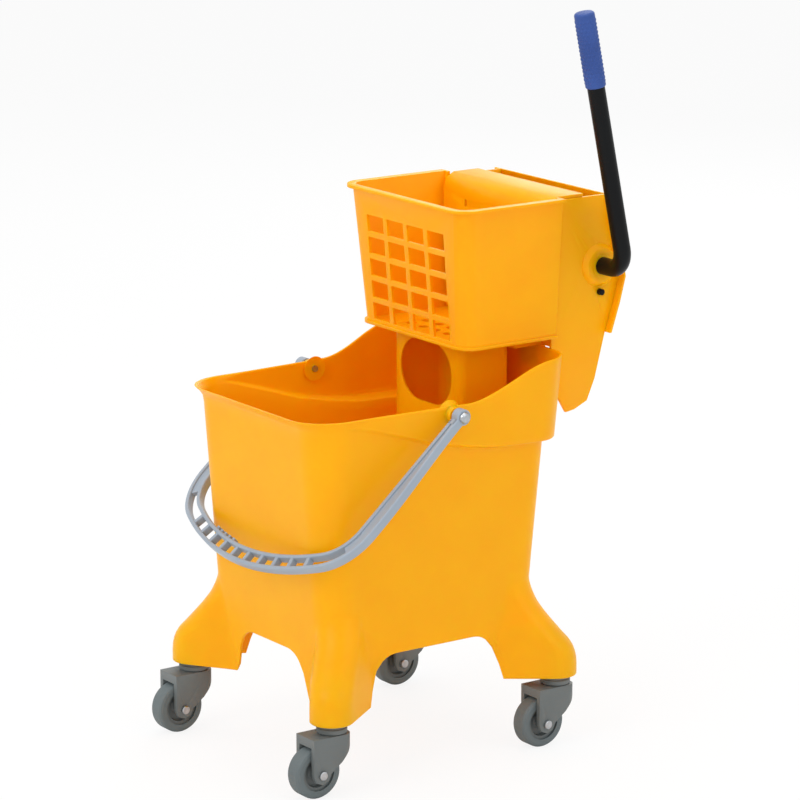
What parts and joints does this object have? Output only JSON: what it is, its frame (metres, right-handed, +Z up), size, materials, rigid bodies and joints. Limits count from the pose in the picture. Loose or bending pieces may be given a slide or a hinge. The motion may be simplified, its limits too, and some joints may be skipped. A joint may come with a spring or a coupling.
{
  "type": "mop bucket with side-press wringer",
  "caption": "Plastic mop bucket on swivel casters with a carrying bail and a lift-off side-press wringer worked by an upright lever.",
  "frame": {"origin": "on the floor, on the bucket's plane of symmetry, midway between the front and rear caster pivots", "axes": "+Z up, +X towards the lever's side, -Y towards the pouring front"},
  "size_m": [0.376, 0.5307, 0.9258],
  "materials": {
    "yellow_plastic": "moulded polypropylene, satin",
    "grey_plastic": "moulded polypropylene",
    "dark_grey_plastic": "moulded polypropylene",
    "grey_tyre": "moulded thermoplastic rubber",
    "black_steel": "black powder coat",
    "black_plastic": "moulded nylon",
    "blue_grip": "dipped and textured vinyl",
    "zinc_steel": "zinc plated"
  },
  "bodies": {
    "bucket": {"bucket_tank": "yellow_plastic", "bail_pins": "zinc_steel", "caster_stem_fl": "zinc_steel", "caster_stem_fr": "zinc_steel", "caster_stem_rl": "zinc_steel", "caster_stem_rr": "zinc_steel", "caster_collar_fl": "dark_grey_plastic", "caster_collar_fr": "dark_grey_plastic", "caster_collar_rl": "dark_grey_plastic", "caster_collar_rr": "dark_grey_plastic"},
    "swivel_fl": {"caster_fork_fl": "dark_grey_plastic", "axle_bolt_fl": "zinc_steel", "axle_nut_fl": "zinc_steel"},
    "wheel_fl": {"wheel_core_fl": "dark_grey_plastic", "tyre_fl": "grey_tyre"},
    "swivel_fr": {"caster_fork_fr": "dark_grey_plastic", "axle_bolt_fr": "zinc_steel", "axle_nut_fr": "zinc_steel"},
    "wheel_fr": {"wheel_core_fr": "dark_grey_plastic", "tyre_fr": "grey_tyre"},
    "swivel_rl": {"caster_fork_rl": "dark_grey_plastic", "axle_bolt_rl": "zinc_steel", "axle_nut_rl": "zinc_steel"},
    "wheel_rl": {"wheel_core_rl": "dark_grey_plastic", "tyre_rl": "grey_tyre"},
    "swivel_rr": {"caster_fork_rr": "dark_grey_plastic", "axle_bolt_rr": "zinc_steel", "axle_nut_rr": "zinc_steel"},
    "wheel_rr": {"wheel_core_rr": "dark_grey_plastic", "tyre_rr": "grey_tyre"},
    "bail": {"bail_handle": "grey_plastic"},
    "wringer": {"wringer_basket": "yellow_plastic", "rear_cover": "yellow_plastic", "cover_screws": "zinc_steel", "shaft_bush_left": "yellow_plastic", "shaft_bush_right": "yellow_plastic", "anchor_pins": "black_steel", "return_spring_left": "zinc_steel", "return_spring_right": "zinc_steel"},
    "press": {"press_plate": "yellow_plastic"},
    "lever": {"lever_tube": "black_steel", "lever_grip": "blue_grip", "shaft_cap": "black_plastic", "cam_arm_left": "zinc_steel", "cam_arm_right": "zinc_steel", "roller_pins": "zinc_steel"},
    "roller_left": {"cam_roller_left": "black_plastic"},
    "roller_right": {"cam_roller_right": "black_plastic"}
  },
  "joints": [
    {"name": "swivel_turn_fl", "type": "hinge", "parent": "bucket", "child": "swivel_fl", "pos_m": [-0.156, -0.17, 0.078], "axis": [0, 0, 1], "continuous": true},
    {"name": "wheel_spin_fl", "type": "hinge", "parent": "swivel_fl", "child": "wheel_fl", "pos_m": [-0.156, -0.1965, 0.032], "axis": [1, 0, 0], "continuous": true},
    {"name": "swivel_turn_fr", "type": "hinge", "parent": "bucket", "child": "swivel_fr", "pos_m": [0.156, -0.17, 0.078], "axis": [0, 0, 1], "continuous": true},
    {"name": "wheel_spin_fr", "type": "hinge", "parent": "swivel_fr", "child": "wheel_fr", "pos_m": [0.156, -0.1965, 0.032], "axis": [1, 0, 0], "continuous": true},
    {"name": "swivel_turn_rl", "type": "hinge", "parent": "bucket", "child": "swivel_rl", "pos_m": [-0.156, 0.17, 0.078], "axis": [0, 0, 1], "continuous": true},
    {"name": "wheel_spin_rl", "type": "hinge", "parent": "swivel_rl", "child": "wheel_rl", "pos_m": [-0.156, 0.1435, 0.032], "axis": [1, 0, 0], "continuous": true},
    {"name": "swivel_turn_rr", "type": "hinge", "parent": "bucket", "child": "swivel_rr", "pos_m": [0.156, 0.17, 0.078], "axis": [0, 0, 1], "continuous": true},
    {"name": "wheel_spin_rr", "type": "hinge", "parent": "swivel_rr", "child": "wheel_rr", "pos_m": [0.156, 0.1435, 0.032], "axis": [1, 0, 0], "continuous": true},
    {"name": "bail_swing", "type": "hinge", "parent": "bucket", "child": "bail", "pos_m": [0, 0.011, 0.447], "axis": [-1, 0, 0], "range_deg": [0, 131]},
    {"name": "wringer_lift", "type": "slide", "parent": "bucket", "child": "wringer", "axis": [0, 0, 1], "range_m": [0, 0.15]},
    {"name": "lever_turn", "type": "hinge", "parent": "wringer", "child": "lever", "pos_m": [0, 0.267, 0.595], "axis": [-1, 0, 0], "range_deg": [0, 70]},
    {"name": "press_slide", "type": "slide", "parent": "wringer", "child": "press", "axis": [0, -1, 0], "range_m": [0, 0.0593], "stiffness_N_per_m": 400, "springref_m": -0.01, "deforming": ["return_spring_left", "return_spring_right"]},
    {"name": "roller_spin_left", "type": "hinge", "parent": "lever", "child": "roller_left", "pos_m": [-0.061, 0.27864, 0.54022], "axis": [1, 0, 0], "continuous": true},
    {"name": "roller_spin_right", "type": "hinge", "parent": "lever", "child": "roller_right", "pos_m": [0.061, 0.27864, 0.54022], "axis": [1, 0, 0], "continuous": true}
  ],
  "couplings": [
    {"joint": "press_slide", "follows": "lever_turn", "m_per_rad": 0.048402}
  ]
}
